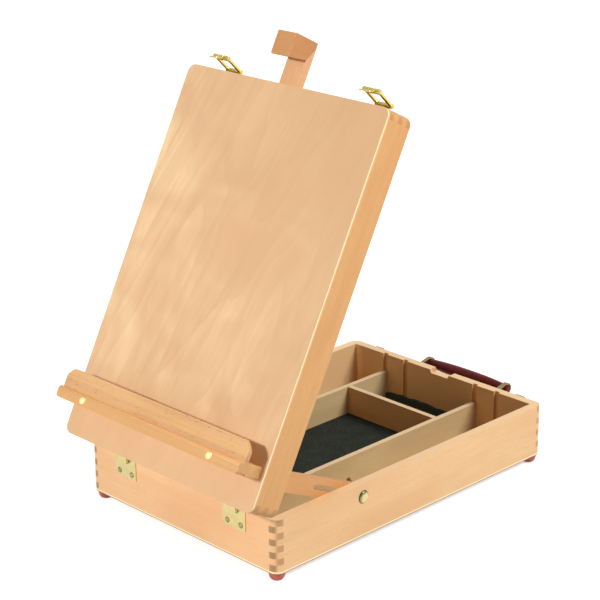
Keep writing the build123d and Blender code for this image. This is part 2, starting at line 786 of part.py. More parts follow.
def latch_frame_shape():
    """The swinging frame, standing up from a pivot at the origin."""
    half = LATCH_W / 2
    opening = half - LATCH_ARM_W
    half_lever = LEVER_KNUCKLE_W / 2
    frame = block(-half, half, -LATCH_FRAME_T / 2, LATCH_FRAME_T / 2, 0, LATCH_L)
    near = rod(KNUCKLE_R, -half, half, 0, 0, KNUCKLE_SIDES)
    far = rod(KNUCKLE_R, -half, half, 0, LATCH_L, KNUCKLE_SIDES)
    frame = frame + near + far
    window_top = LATCH_L - KNUCKLE_R - 2 * SWING_GAP - LATCH_BAR
    frame = frame - block(-opening, opening, -KNUCKLE_R, KNUCKLE_R, -KNUCKLE_R, window_top)
    gap = half_lever + SWING_GAP
    cut_low = window_top + LATCH_BAR
    frame = frame - block(-gap, gap, -KNUCKLE_R, KNUCKLE_R, cut_low, LATCH_L + KNUCKLE_R)
    return frame - pin_bore(-half, half, 0, 0) - pin_bore(-half, half, 0, LATCH_L)


def latch_lever_shape():
    """The finger lever at the frame's end, standing up from a pivot at the origin."""
    half = LEVER_W / 2
    half_knuckle = LEVER_KNUCKLE_W / 2
    start = KNUCKLE_R + 2 * SWING_GAP
    tongue = Rectangle(LEVER_W, LEVER_L - start)
    tongue = fillet(tongue.vertices().group_by(Axis.Y)[-1], LEVER_CORNER_R)
    tongue = extrude(Plane.XZ * Pos(0, (LEVER_L + start) / 2) * tongue, LATCH_T / 2, both=True)
    neck = block(-half_knuckle, half_knuckle, -LATCH_T / 2, LATCH_T / 2, 0, start)
    lever = tongue + neck + rod(KNUCKLE_R, -half_knuckle, half_knuckle, 0, 0, KNUCKLE_SIDES)
    return lever - pin_bore(-half, half, 0, 0)


def latch_lean(angle):
    """The turn that leans a standing latch piece out from the lid's wall by an angle."""
    return Rot(-angle, 0, 0)


def latch_frame(x):
    y, z = latch_pivot()
    return opened(Pos(x, y, z) * latch_lean(LATCH_LEAN) * latch_frame_shape())


def latch_far_pivot():
    """(y, z) of the lever's pivot on the shut lid with the frame swung up."""
    y, z = latch_pivot()
    lean = radians(LATCH_LEAN)
    return y + LATCH_L * sin(lean), z + LATCH_L * cos(lean)


def latch_lever(x):
    y, z = latch_far_pivot()
    return opened(Pos(x, y, z) * latch_lean(LATCH_LEAN - LEVER_DROOP) * latch_lever_shape())


def lever_pin(x):
    y, z = latch_far_pivot()
    half = LATCH_W / 2
    return opened(rod(PIN_R, x - half, x + half, y, z))


def catch(x):
    """The catch on the base: a plate with a bent top flange and a hook under which the frame locks."""
    face = BOX_Y / 2
    top = BASE_TOP - CATCH_TOP_DROP
    half = CATCH_W / 2
    half_tab = CATCH_TAB_W / 2
    pivot_y, pivot_z = latch_pivot()
    window = LATCH_L - KNUCKLE_R - 2 * SWING_GAP - LATCH_BAR
    hook_low = pivot_z - window + CATCH_HOOK_GAP
    plate = block(-half, half, face, face + CATCH_T, top - CATCH_H, top)
    flange = block(-half_tab, half_tab, face, face + CATCH_REACH, top - CATCH_T, top)
    hook = block(-half_tab, half_tab, face, pivot_y + SWING_GAP, hook_low, hook_low + CATCH_T)
    body = Pos(x, 0, 0) * (plate + flange + hook)
    return drill(body, small_screw(FIT_GAP), catch_screw_spots())


# Handle

def handle_lie():
    """Places a handle piece, modelled along +Y from a pivot at the origin."""
    return Pos(0, BOX_Y / 2 + HANDLE_PIVOT_OUT, HANDLE_PIVOT_Z) * Rot(HANDLE_TILT, 0, 0)


def handle_grip():
    """A turned grip, fullest in its middle, with a neck for each strap and round tips."""
    half = HANDLE_L / 2
    neck = STRAP_X - STRAP_W / 2 - SWING_GAP
    shoulder_r = GRIP_END_R + 0.75 * (GRIP_R - GRIP_END_R)
    right = [(neck / 4, GRIP_R), (neck / 1.6, shoulder_r), (neck, GRIP_END_R)]
    right += [(half - GRIP_TIP_L, GRIP_END_R), (half, GRIP_TIP_R)]
    left = [(-x, r) for x, r in reversed(right)]
    grip = Rot(0, 90, 0) * turned([(r, x) for x, r in left + right], GRIP_SIDES)
    return handle_lie() * Pos(0, HANDLE_REACH, 0) * grip


def handle_strap(x):
    """A flat brass strap from the bracket's pin out around the grip's neck and back."""
    inner = (GRIP_END_R + FIT_GAP) / cos(pi / DISC_SIDES)
    reach = HANDLE_REACH
    part_r = STRAP_PART / 2
    outline = rounded_bar(0, EYE_R, reach, inner + STRAP_T)
    outline = outline - rounded_bar(EYE_R + EYE_WEB + part_r, part_r, reach, inner)
    outline = outline - RegularPolygon(PIN_R + FIT_GAP, PIN_SIDES, major_radius=False)
    strap = extrude(Plane.YZ * outline, STRAP_W / 2, both=True)
    return handle_lie() * Pos(x, 0, 0) * strap


def handle_bracket(x):
    """The plate that holds the strap's eye between two ears."""
    face = BOX_Y / 2
    y = face + HANDLE_PIVOT_OUT
    z = HANDLE_PIVOT_Z
    half = BRACKET_W / 2
    body = block(-half, half, face, face + BRACKET_T, z - BRACKET_H / 2, z + BRACKET_H / 2)
    near = STRAP_W / 2 + SWING_GAP
    for x_low, x_high in ((-near - EAR_T, -near), (near, near + EAR_T)):
        body = body + block(x_low, x_high, face, y, z - EYE_R, z + EYE_R)
        body = body + rod(EYE_R, x_low, x_high, y, z, KNUCKLE_SIDES)
    body = body - pin_bore(-half, half, y, z)
    return drill(Pos(x, 0, 0) * body, small_screw(FIT_GAP), bracket_screw_spots())


def handle_pins():
    y = BOX_Y / 2 + HANDLE_PIVOT_OUT
    half = STRAP_W / 2 + SWING_GAP + EAR_T
    pins = [rod(PIN_R, x - half, x + half, y, HANDLE_PIVOT_Z) for x in (-STRAP_X, STRAP_X)]
    return Compound(children=pins)


def sides(name, shape):
    """A right-hand piece and its mirror image, by name."""
    return {f"{name}_left": flipped(shape), f"{name}_right": shape}


def all_parts():
    parts = {
        "base_panel": flat_panel(FOOT_H),
        "base_front_wall": base_front_wall(),
        "base_back_wall": base_back_wall(),
        "base_left_wall": flipped(base_right_wall()),
        "base_right_wall": base_right_wall(),
        "feet": feet(),
        "divider_left": long_divider(-GROOVE_OUTER_X),
        "divider_right": long_divider(GROOVE_INNER_X),
        "divider_cross": cross_divider(),
        "felt_front": felt_pad(WALL - BOX_Y / 2, CROSS_Y - DIVIDER_T / 2),
        "felt_rear": felt_pad(CROSS_Y + DIVIDER_T / 2, BOX_Y / 2 - WALL),
        "hinge_leaf_base_left": base_leaf(-HINGE_X),
        "hinge_leaf_base_right": base_leaf(HINGE_X),
        "hinge_leaf_lid_left": lid_leaf(-HINGE_X),
        "hinge_leaf_lid_right": lid_leaf(HINGE_X),
        "hinge_pins": hinge_pins(),
        "hinge_screws_base": place_all(wood_screw(), hinge_screw_spots(-1)),
        "hinge_screws_lid": opened(place_all(wood_screw(), hinge_screw_spots(1))),
        "lid_panel": opened(flat_panel(lid_z(LID_WALL_H))),
        "lid_front_wall": lid_front_wall(),
        "lid_back_wall": lid_back_wall(),
        "lid_left_wall": flipped(lid_right_wall()),
        "lid_right_wall": lid_right_wall(),
    }
    parts.update(sides("stay_arm", stay_arm()))
    parts.update(sides("stay_washer", stay_washer()))
    parts.update(sides("wing_nut", wing_nut()))
    parts["stay_bolts"] = both_sides(stay_bolt())
    parts["stay_pivot_screws"] = both_sides(pivot_screw())
    parts["stay_pivot_washers"] = both_sides(pivot_washer())
    parts["ledge_shelf"] = ledge_shelf()
    parts["ledge_lip"] = ledge_lip()
    parts["ledge_pins"] = ledge_pins()
    parts["mast"] = mast()
    parts["mast_hook"] = mast_hook()
    parts["mast_rail_left"] = mast_rail(-1)
    parts["mast_rail_right"] = mast_rail(1)
    parts["mast_bridge"] = mast_bridge()
    parts["mast_bridge_screws"] = opened(place_all(small_screw(), bridge_screw_spots()))
    parts["mast_lock"] = mast_lock()
    for side, x in (("left", -LATCH_X), ("right", LATCH_X)):
        parts[f"latch_plate_{side}"] = latch_plate(x)
        parts[f"latch_frame_{side}"] = latch_frame(x)
        parts[f"latch_lever_{side}"] = latch_lever(x)
        parts[f"latch_lever_pin_{side}"] = lever_pin(x)
        parts[f"catch_{side}"] = catch(x)
    parts["latch_pins"] = latch_pins()
    parts["latch_screws"] = opened(place_all(small_screw(), latch_screw_spots()))
    parts["catch_screws"] = place_all(small_screw(), catch_screw_spots())
    parts["handle_grip"] = handle_grip()
    parts["handle_straps"] = Compound(children=[handle_strap(-STRAP_X), handle_strap(STRAP_X)])
    parts["handle_brackets"] = Compound(children=[handle_bracket(-STRAP_X), handle_bracket(STRAP_X)])
    parts["handle_pins"] = handle_pins()
    parts["handle_screws"] = place_all(small_screw(), bracket_screw_spots())
    return parts


os.makedirs("parts", exist_ok=True)
for part_name, part_shape in all_parts().items():
    export_step(part_shape, f"parts/{part_name}.step")
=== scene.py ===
import bpy
import bmesh
from math import cos, pi, radians, sin
from mathutils import Matrix, Vector


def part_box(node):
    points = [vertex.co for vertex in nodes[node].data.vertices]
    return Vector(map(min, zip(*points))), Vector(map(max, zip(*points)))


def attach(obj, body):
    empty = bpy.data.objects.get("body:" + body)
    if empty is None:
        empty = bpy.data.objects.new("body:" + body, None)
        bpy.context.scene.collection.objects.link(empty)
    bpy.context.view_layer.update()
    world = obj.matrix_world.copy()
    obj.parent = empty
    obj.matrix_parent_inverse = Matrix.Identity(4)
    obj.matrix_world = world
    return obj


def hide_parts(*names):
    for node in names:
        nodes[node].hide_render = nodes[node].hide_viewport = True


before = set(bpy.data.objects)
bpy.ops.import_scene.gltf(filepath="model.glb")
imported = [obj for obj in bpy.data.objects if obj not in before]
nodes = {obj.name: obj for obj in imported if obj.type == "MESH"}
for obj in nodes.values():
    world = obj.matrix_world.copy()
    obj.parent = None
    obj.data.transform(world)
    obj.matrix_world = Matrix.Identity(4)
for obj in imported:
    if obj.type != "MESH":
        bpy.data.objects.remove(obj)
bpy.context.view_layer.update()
scene = bpy.context.scene


# Table top and studio light
# The easel stands on a plain white table top that runs back out of sight. A small soft lamp stands
# in front, square to the drawing panel, and a wider one lights the right-hand side.

def material(name):
    """A new material, its node tree and its shader."""
    finish = bpy.data.materials.new(name)
    finish.use_nodes = True
    return finish, finish.node_tree, finish.node_tree.nodes["Principled BSDF"]


def wire(tree, target, sockets):
    """Gives each of a node's sockets a plain value, or joins another node's output to it."""
    for socket, value in sockets.items():
        if isinstance(value, bpy.types.NodeSocket):
            tree.links.new(value, target.inputs[socket])
        else:
            target.inputs[socket].default_value = value


def add(tree, kind, sockets, **settings):
    """Adds a node with its settings, then wires its sockets."""
    made = tree.nodes.new(kind)
    for setting, value in settings.items():
        setattr(made, setting, value)
    wire(tree, made, sockets)
    return made


def reckon(tree, operation, *values):
    """Works out one number from one or two others."""
    return add(tree, "ShaderNodeMath", dict(enumerate(values)), operation=operation).outputs[0]


def spread(tree, source, low, high, to_low=0.0, to_high=1.0):
    """A value spread from one range to another, and kept inside it."""
    sockets = {"Value": source, "From Min": low, "From Max": high, "To Min": to_low, "To Max": to_high}
    return add(tree, "ShaderNodeMapRange", sockets).outputs["Result"]


def looked_at(tree):
    """Is 1 for a ray from the camera, off metal or through glass, and 0 for light on the easel."""
    ray = tree.nodes.new("ShaderNodeLightPath").outputs
    straight = reckon(tree, "MAXIMUM", ray["Is Camera Ray"], ray["Is Glossy Ray"])
    return reckon(tree, "MAXIMUM", straight, ray["Is Transmission Ray"])


def soft_lamp(name, size, power, place, aim):
    """A round studio lamp, aimed at a point."""
    lamp = bpy.data.lights.new(name, "AREA")
    lamp.shape = "DISK"
    lamp.size = size
    lamp.energy = power
    holder = bpy.data.objects.new(name, lamp)
    holder.location = place
    holder.rotation_euler = (Vector(aim) - Vector(place)).to_track_quat("-Z", "Y").to_euler()
    scene.collection.objects.link(holder)


white = (1, 1, 1, 1)
table_half = 6.0
paper_white = (0.78, 0.78, 0.78, 1)
table_grey = (0.55, 0.55, 0.55, 1)
lift_near, lift_far = 0.55, 0.90
lift_starts, lift_ends = 0.25, 1.2
room_light = 0.28

table_shape = bmesh.new()
bmesh.ops.create_grid(table_shape, x_segments=1, y_segments=1, size=table_half)
table_mesh = bpy.data.meshes.new("table_top")
table_shape.to_mesh(table_mesh)
table_shape.free()
table = bpy.data.objects.new("table_top", table_mesh)
scene.collection.objects.link(table)
table_white, table_tree, table_shader = material("white table top")
wire(table_tree, table_shader, {"Base Color": table_grey, "Roughness": 0.9, "Specular IOR Level": 0.0})
spot = add(table_tree, "ShaderNodeTexCoord", {}).outputs["Object"]
distance = add(table_tree, "ShaderNodeVectorMath", {0: spot}, operation="LENGTH").outputs["Value"]
lift = spread(table_tree, distance, lift_starts, lift_ends, lift_near, lift_far)
glow = add(table_tree, "ShaderNodeEmission", {"Color": white, "Strength": lift}).outputs[0]
paper = add(table_tree, "ShaderNodeBsdfDiffuse", {"Color": paper_white}).outputs[0]
lifted = add(table_tree, "ShaderNodeAddShader", {0: paper, 1: glow}).outputs[0]
ground = {0: looked_at(table_tree), 1: table_shader.outputs[0], 2: lifted}
ground_shader = add(table_tree, "ShaderNodeMixShader", ground).outputs[0]
wire(table_tree, table_tree.nodes["Material Output"], {"Surface": ground_shader})
table.data.materials.append(table_white)

world = bpy.data.worlds.new("white studio")
scene.world = world
world.use_nodes = True
studio = world.node_tree
room = studio.nodes["Background"]
wire(studio, room, {"Color": white, "Strength": room_light})
backdrop = add(studio, "ShaderNodeBackground", {"Color": white, "Strength": 1.0}).outputs[0]
surround = {0: looked_at(studio), 1: room.outputs[0], 2: backdrop}
surround_shader = add(studio, "ShaderNodeMixShader", surround).outputs[0]
wire(studio, studio.nodes["World Output"], {"Surface": surround_shader})

soft_lamp("front_lamp", size=0.28, power=48, place=(-0.17, -2.35, 1.43), aim=(0, 0, 0.2))
soft_lamp("side_lamp", size=1.0, power=54, place=(1.75, 0.80, 1.75), aim=(0, 0, 0.1))


# Camera
# It looks down on the right front corner from about two metres, through a long lens that is
# shifted so that the whole easel fills the frame.

eye = Matrix.Translation((1.3193, -1.3173, 0.8763))
swing = Matrix.Rotation(radians(46.90), 4, "Z")
tilt = Matrix.Rotation(radians(68.78), 4, "X")
roll = Matrix.Rotation(radians(-1.08), 4, "Z")

lens = bpy.data.cameras.new("camera")
lens.sensor_width = 36
lens.lens = 114.64
lens.shift_x = 0.0635
lens.shift_y = 0.0777
camera = bpy.data.objects.new("camera", lens)
camera.matrix_world = eye @ swing @ tilt @ roll
scene.collection.objects.link(camera)
scene.camera = camera
scene.view_settings.view_transform = "Standard"


# Base walls
# Four solid beech boards, 10 mm thick, finger-jointed and glued at the corners, sanded and clear
# lacquered. The grain runs along each board, so the fingers show end grain beside long grain.

def srgb(*chart):
    """A colour as a paint chart gives its red, green and blue, from 0 to 255."""
    linear = [((part / 255 + 0.055) / 1.055) ** 2.4 if part > 10 else part / 255 / 12.92 for part in chart]
    return (*linear, 1)


def toned(colour, red, green, blue):
    """A colour with more or less of its red, green and blue."""
    return (colour[0] * red, colour[1] * green, colour[2] * blue, 1)


def noise(tree, place, scale, detail, rough=0.5, distortion=0.0):
    """A cloudy pattern."""
    sockets = {"Vector": place, "Scale": scale, "Detail": detail, "Roughness": rough}
    return add(tree, "ShaderNodeTexNoise", sockets | {"Distortion": distortion}).outputs["Fac"]


def grained(tree, place, grain, turn, across, along, detail, rough=0.5, distortion=0.0):
    """A cloudy pattern drawn out along the grain of a board that is turned in the easel."""
    laid = add(tree, "ShaderNodeMapping", {"Vector": place, "Rotation": turn}).outputs[0]
    scale = [across, across, across]
    scale["XYZ".index(grain)] = along
    stretched = add(tree, "ShaderNodeMapping", {"Vector": laid, "Scale": scale}).outputs[0]
    return noise(tree, stretched, 1, detail, rough, distortion)


def blend(tree, amount, first, second, mode="MIX"):
    """Two colours blended by an amount."""
    sockets = {"Factor": amount, "A": first, "B": second}
    return add(tree, "ShaderNodeMix", sockets, data_type="RGBA", blend_type=mode).outputs["Result"]


def tinted(tree, colour, tint, pattern, low, high, most=1.0):
    """A colour that takes a tint as a pattern goes from low to high, up to a share of most."""
    return blend(tree, spread(tree, pattern, low, high, 0, most), colour, tint)


def raised(tree, pattern, depth):
    """A surface raised by a pattern."""
    sockets = {"Strength": 1.0, "Distance": depth, "Height": pattern}
    return add(tree, "ShaderNodeBump", sockets).outputs[0]


def measured(tree, vector):
    """The X, Y and Z of a place or a direction."""
    return add(tree, "ShaderNodeSeparateXYZ", {0: vector}).outputs


def facing(tree, direction, turn):
    """How far a face looks along each axis of a board that is turned in the easel."""
    laid = add(tree, "ShaderNodeMapping", {"Vector": direction, "Rotation": turn}, vector_type="NORMAL")
    return measured(tree, laid.outputs[0])


def inside_base(tree, place, direction):
    """Picks out the upright faces inside the base, with those of the grooves that hold the dividers."""
    slack, groove, upright = 0.0001, 0.0035, 0.5
    reach_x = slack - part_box("base_left_wall")[1].x
    reach_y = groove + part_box("base_back_wall")[0].y
    spot = measured(tree, place)
    tests = ((spot["X"], reach_x), (spot["Y"], reach_y), (measured(tree, direction)["Z"], upright))
    found = 1.0
    for value, reach in tests:
        within = reckon(tree, "LESS_THAN", reckon(tree, "ABSOLUTE", value), reach)
        found = reckon(tree, "MULTIPLY", found, within)
    return found


def beech(name, pale, deep, grain, turn=(0, 0, 0), end=0.6, rough=0.42, flecks=0.20, raw=None, top=None):
    """Lacquered beech: faint figure, fine fibres, short brown flecks and darker end grain.

    raw colours the unlacquered faces inside the base, and top is painted light on the faces that look up.
    """
    finish, tree, shader = material(name)
    texture = add(tree, "ShaderNodeTexCoord", {}).outputs
    place, direction = texture["Object"], texture["Normal"]
    figure = grained(tree, place, grain, turn, across=46, along=5, detail=3, distortion=0.4)
    fibre = grained(tree, place, grain, turn, across=620, along=26, detail=4, rough=0.6)
    fleck = grained(tree, place, grain, turn, across=1000, along=200, detail=1, rough=0.4)
    drift = noise(tree, place, scale=9, detail=2)
    colour = tinted(tree, pale, deep, figure, 0.34, 0.70, most=0.55)
    colour = tinted(tree, colour, deep, drift, 0.38, 0.62, most=0.45)
    colour = tinted(tree, colour, deep, fibre, 0.42, 0.72, most=0.40)
    colour = tinted(tree, colour, toned(deep, 0.50, 0.36, 0.26), fleck, 0.64, 0.74, most=flecks)
    toward = facing(tree, direction, turn)
    end_grain = blend(tree, 1.0, colour, (end, end * 0.90, end * 0.80, 1), "MULTIPLY")
    colour = tinted(tree, colour, end_grain, reckon(tree, "ABSOLUTE", toward[grain]), 0.55, 0.85)
    if raw:
        sanded = blend(tree, 0.8, colour, raw)
        colour = blend(tree, inside_base(tree, place, direction), colour, sanded)
    # Faces that look up take the top colour: painted light from above.
    if top:
        colour = tinted(tree, colour, top, toward["Z"], 0.6, 0.9, most=0.85)
    shine = spread(tree, fibre, 0.3, 0.8, rough - 0.05, rough + 0.08)
    wire(tree, shader, {"Base Color": colour, "Roughness": shine, "Normal": raised(tree, fibre, 0.00005)})
    wire(tree, shader, {"Coat Weight": 0.10, "Coat Roughness": 0.35})
    return finish


def dress(finish, *names):
    """Gives plain pieces their finish."""
    for name in names:
        layers = nodes[name].data.materials
        layers.clear()
        layers.append(finish)


front_pale, front_deep, front_raw = srgb(245, 199, 147), srgb(225, 169, 115), srgb(222, 176, 116)
side_pale, side_deep, side_raw = srgb(240, 199, 146), srgb(220, 168, 112), srgb(218, 184, 136)
# The rim colour is painted light on the walls' up-facing tops.
rim = srgb(252, 210, 156)

front_beech = beech("base beech along x", front_pale, front_deep, "X", end=0.62, raw=front_raw, top=rim)
side_beech = beech("base beech along y", side_pale, side_deep, "Y", end=0.46, raw=side_raw, top=rim)
dress(front_beech, "base_front_wall", "base_back_wall")
dress(side_beech, "base_left_wall", "base_right_wall")


# Bottom panel
# A 3 mm sheet of plywood, glued flush under the walls and lacquered with them. Its light edge shows
# as a thin line all round.

def plywood(name, pale, deep, low, high, plies, turn=(0, 0, 0), shade=None):
    """Plywood: a soft cloudy figure with faint contour lines, and its plies in bands from low to high.

    shade gives a painted shade that darkens the veneer along x and up the sheet; where it is given, the
    veneer is also redder at its foot.
    """
    finish, tree, shader = material(name)
    texture = add(tree, "ShaderNodeTexCoord", {}).outputs
    place = texture["Object"]
    slant, ring_count = radians(14), 13
    swung = (turn[0], turn[1], turn[2] + slant)
    cloud = grained(tree, place, "Y", turn, across=11, along=4.5, detail=3, distortion=1.4)
    patch = grained(tree, place, "Y", turn, across=6, along=16, detail=2, distortion=0.6)
    streak = grained(tree, place, "Y", swung, across=80, along=7, detail=4, rough=0.6, distortion=0.5)
    pore = grained(tree, place, "Y", turn, across=1100, along=60, detail=2)
    hills = grained(tree, place, "Y", swung, across=8.5, along=1.9, detail=2, rough=0.4, distortion=0.8)
    rings = reckon(tree, "FRACT", reckon(tree, "MULTIPLY", hills, ring_count))
    colour = tinted(tree, pale, deep, cloud, 0.32, 0.74, most=0.8)
    colour = tinted(tree, colour, toned(deep, 1.06, 0.94, 1.02), patch, 0.45, 0.70, most=0.5)
    colour = tinted(tree, colour, deep, streak, 0.48, 0.72, most=0.45)
    colour = tinted(tree, colour, toned(deep, 0.66, 0.66, 0.66), pore, 0.58, 0.80, most=0.25)
    colour = tinted(tree, colour, toned(deep, 0.88, 0.88, 0.88), rings, 0.20, 0.97, most=0.22)
    laid = add(tree, "ShaderNodeMapping", {"Vector": place, "Rotation": turn}).outputs[0]
    spot = measured(tree, laid)
    if shade:
        # Painted shade: the veneer darkens along x and up the sheet.
        darker = add(tree, "ShaderNodeVectorMath", {0: laid, 1: (*shade, 0)}, operation="DOT_PRODUCT")
        colour = tinted(tree, colour, deep, darker.outputs["Value"], 0.25, 1.0, most=0.85)
        colour = tinted(tree, colour, toned(pale, 0.80, 0.69, 0.64), spot["Y"], 0.06, -0.01, most=0.75)
    bands = add(tree, "ShaderNodeValToRGB", {"Fac": spread(tree, spot["Z"], low, high)})
    marks = bands.color_ramp.elements
    marks[0].position, marks[0].color = plies[0]
    marks[1].position, marks[1].color = plies[-1]
    for share, tone in plies[1:-1]:
        marks.new(share).color = tone
    flat_on = reckon(tree, "ABSOLUTE", facing(tree, texture["Normal"], turn)["Z"])
    colour = tinted(tree, bands.outputs["Color"], colour, flat_on, 0.45, 0.55)
    wire(tree, shader, {"Base Color": colour, "Roughness": 0.45, "Normal": raised(tree, streak, 0.00004)})
    wire(tree, shader, {"Coat Weight": 0.08, "Coat Roughness": 0.4})
    return finish


cream = srgb(255, 232, 186)
dark_under, dark_core, tan = srgb(150, 112, 76), srgb(160, 120, 82), srgb(196, 146, 98)
bottom_plies = [(0.0, dark_under), (0.24, dark_core), (0.34, cream), (0.86, cream), (0.93, tan)]
bottom_pale, bottom_deep = srgb(214, 180, 136), srgb(196, 158, 112)
bottom_low, bottom_high = (corner.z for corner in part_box("base_panel"))

bottom_ply = plywood("bottom plywood", bottom_pale, bottom_deep, bottom_low, bottom_high, bottom_plies)
dress(bottom_ply, "base_panel")


# Feet
# Four turned beech buttons, stained dark red and lacquered. One is pinned under each corner of the
# base.

def stained(name, tone, rough, gloss=0.5):
    """A stained, lacquered finish with a little wear in its tone."""
    finish, tree, shader = material(name)
    cloud = noise(tree, add(tree, "ShaderNodeTexCoord", {}).outputs["Object"], scale=160, detail=3)
    colour = tinted(tree, tone, toned(tone, 0.6, 0.6, 0.6), cloud, 0.35, 0.70)
    shine = spread(tree, cloud, 0.3, 0.7, rough - 0.06, rough + 0.08)
    wire(tree, shader, {"Base Color": colour, "Roughness": shine, "Specular IOR Level": gloss})
    return finish


def fitted(name, shape, finishes, node, body):
    """Makes a finished piece of a shape, which stands in for a plain one."""
    mesh = bpy.data.meshes.new(name)
    shape.to_mesh(mesh)
    shape.free()
    piece = bpy.data.objects.new(name, mesh)
    scene.collection.objects.link(piece)
    for finish in finishes:
        mesh.materials.append(finish)
    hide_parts(node)
    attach(piece, body)
    return piece


def turned(shape, profile, place, steps):
    """Spins a profile of (radius, height) points round the Z axis, then puts it in place."""
    earlier = set(shape.verts)
    points = [shape.verts.new((radius, 0, height)) for radius, height in profile]
    edges = [shape.edges.new(pair) for pair in zip(points, points[1:])]
    full_turn = {"cent": (0, 0, 0), "axis": (0, 0, 1), "angle": 2 * pi, "steps": steps, "use_merge": True}
    bmesh.ops.spin(shape, geom=points + edges, **full_turn)
    fresh = [vert for vert in shape.verts if vert not in earlier]
    bmesh.ops.transform(shape, matrix=place, verts=fresh)
    bmesh.ops.remove_doubles(shape, verts=fresh, dist=1e-6)


def rounded(shape):
    """Shades a shape smoothly, except over its sharper edges."""
    sharp = radians(35)
    bmesh.ops.recalc_face_normals(shape, faces=shape.faces[:])
    for face in shape.faces:
        face.smooth = True
    for edge in shape.edges:
        edge.smooth = edge.calc_face_angle(0) < sharp


feet_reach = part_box("feet")[1]
foot_radius, foot_height = 0.0085, feet_reach.z
foot_x, foot_y = feet_reach.x - foot_radius, feet_reach.y - foot_radius
foot_side = [(0.0048, 0), (0.0062, 0.0008), (0.0074, 0.0026), (0.0082, 0.0052), (foot_radius, foot_height)]

feet = bmesh.new()
for x in (-foot_x, foot_x):
    for y in (-foot_y, foot_y):
        turned(feet, [(0, 0), *foot_side, (0, foot_height)], Matrix.Translation((x, y, 0)), steps=32)
rounded(feet)
dark_red = stained("red feet", srgb(202, 92, 74), rough=0.40)
fitted("feet_turned", feet, [dark_red], "feet", "base")


# Felt pads
# Two pads of dark green-black wool felt, 2 mm thick, laid loose on the floor of the middle
# compartments. The rear one is cut long, so its edge stands up against the back wall.

def felt(name, lighter):
    """Pressed felt: fine tufts with duller patches, with its colour multiplied by lighter, which paints
    light on it.
    """
    finish, tree, shader = material(name)
    place = add(tree, "ShaderNodeTexCoord", {}).outputs["Object"]
    tuft = noise(tree, place, scale=420, detail=4, rough=0.7)
    patch = noise(tree, place, scale=60, detail=3)
    dull, dark, light = srgb(20, 23, 21), srgb(26, 31, 27), srgb(52, 60, 53)
    colour = tinted(tree, dark, light, tuft, 0.35, 0.65)
    colour = tinted(tree, colour, dull, patch, 0.40, 0.65, most=0.4)
    colour = blend(tree, 1.0, colour, (lighter * 1.05, lighter, lighter * 0.9, 1), "MULTIPLY")
    wire(tree, shader, {"Base Color": colour, "Roughness": 0.95, "Specular IOR Level": 0.2})
    wire(tree, shader, {"Normal": raised(tree, tuft, 0.0004)})
    return finish


def felt_pad(node, upturn, bend, finish):
    """A pad of felt laid flat, whose rear edge bends up and stands to a height of upturn."""
    low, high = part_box(node)
    span = high - low
    half = span.z / 2
    flat_run = span.y - (bend + half if upturn else 0)
    arc = bend * pi / 2
    whole = flat_run + arc + upturn - bend
    wall_gap = 0.0001
    shape = bmesh.new()
    bmesh.ops.create_grid(shape, x_segments=64, y_segments=64, size=0.5)
    for vert in shape.verts:
        share = vert.co.x + 0.5
        run = (vert.co.y + 0.5) * whole
        if run <= flat_run:
            y = low.y + run
            z = low.z + half
        elif run <= flat_run + arc:
            lean = (run - flat_run) / bend
            y = low.y + flat_run + bend * sin(lean)
            z = low.z + half + bend * (1 - cos(lean))
        else:
            worn_corner = 0.6 * max(0, 1 - share * 4) ** 2
            ripple = 0.10 * sin(share * 17 + 0.5) + 0.06 * sin(share * 41)
            y = high.y - half - wall_gap
            z = low.z + half + bend + (run - flat_run - arc) * (1 - worn_corner + ripple)
        vert.co = (low.x + share * span.x, y, z)
    for face in shape.faces:
        face.smooth = True
    pad = fitted(node + "_pile", shape, [finish], node, "base")
    thickness = pad.modifiers.new("felt thickness", "SOLIDIFY")
    thickness.thickness = span.z
    thickness.offset = 0


felt_pad("felt_front", upturn=0, bend=0, finish=felt("green black felt", lighter=1.0))
# The rear pad's felt is painted 2.4 times lighter: painted light on its standing edge, which lies in shade.
felt_pad("felt_rear", upturn=0.0105, bend=0.004, finish=felt("rear felt painted lighter", lighter=2.4))


# Dividers
# Three thin beech boards left plain, standing in grooves so that they lift out. Their planed top edges are
# painted paler than their faces, as light from above.

divider_pale, divider_deep = srgb(208, 182, 134), srgb(188, 158, 112)
cross_pale, cross_deep = srgb(224, 174, 112), srgb(204, 150, 92)
top_painted_light = srgb(238, 208, 164)

long_beech = beech("divider beech along y", divider_pale, divider_deep, "Y", rough=0.6, top=top_painted_light)
cross_beech = beech("divider beech along x", cross_pale, cross_deep, "X", rough=0.6, top=top_painted_light)
dress(long_beech, "divider_left", "divider_right")
dress(cross_beech, "divider_cross")


# Hinges
# Two knuckle hinges bent from brass plate, with a pin through each. Each leaf is held by two cross-recessed
# screws, and a line of painted shadow shows where each base leaf's knuckle closes.

def centre(node):
    """The middle of a plain piece."""
    low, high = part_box(node)
    return (low + high) / 2


